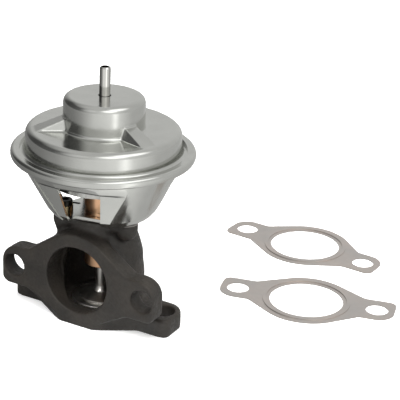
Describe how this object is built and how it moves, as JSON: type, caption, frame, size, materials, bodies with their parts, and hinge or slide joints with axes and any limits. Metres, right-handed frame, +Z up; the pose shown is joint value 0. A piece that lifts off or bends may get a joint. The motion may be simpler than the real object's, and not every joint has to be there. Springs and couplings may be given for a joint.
{
  "type": "egr valve",
  "caption": "Vacuum-operated exhaust gas recirculation valve: cast elbow body with two-bolt oval flanges, stamped diaphragm housing, sliding poppet valve and flat flange gaskets.",
  "frame": {"origin": "centre of the outlet port in the base flange's lower face, on the stem axis", "axes": "+Z up the stem towards the vacuum nipple, -Y out of the inlet port, X along both flanges' bolt lines"},
  "size_m": [0.1567, 0.1766, 0.1143],
  "materials": {
    "cast_iron": "rough dark cast",
    "seat_steel": "ground",
    "bronze": "machined bronze",
    "seal_carbon": "pressed carbon",
    "joint_fibre": "fibre sheet",
    "zinc_steel": "bright zinc plated stamping",
    "nipple_steel": "polished",
    "diaphragm_rubber": "matt",
    "spring_steel": "drawn wire",
    "valve_steel": "turned",
    "plate_steel": "zinc plated",
    "screw_steel": "black oxide",
    "spacer_brass": "olive chromate",
    "gasket_steel": "rolled sheet"
  },
  "bodies": {
    "valve_body": {"cast_body": "cast_iron", "seat_ring": "seat_steel", "guide_bush": "bronze", "guide_cap": "bronze", "stem_seal": "seal_carbon", "deck_gasket": "joint_fibre", "lower_housing": "zinc_steel", "top_cover": "zinc_steel", "vacuum_nipple": "nipple_steel", "diaphragm": "diaphragm_rubber", "return_spring": "spring_steel", "housing_screw_1": "screw_steel", "screw_spacer_1": "spacer_brass", "housing_screw_2": "screw_steel", "screw_spacer_2": "spacer_brass", "housing_screw_3": "screw_steel", "screw_spacer_3": "spacer_brass", "inlet_gasket": "gasket_steel", "outlet_gasket": "gasket_steel"},
    "valve_stem": {"poppet_valve": "valve_steel", "stem_collar": "valve_steel", "lower_plate": "plate_steel", "upper_plate": "plate_steel", "stud_washer": "plate_steel", "stud_nut": "plate_steel"}
  },
  "joints": [
    {"name": "valve_lift", "type": "slide", "parent": "valve_body", "child": "valve_stem", "axis": [0, 0, 1], "range_m": [0, 0.006], "stiffness_N_per_m": 4000, "springref_m": -0.008, "deforming": ["return_spring", "diaphragm"]}
  ]
}
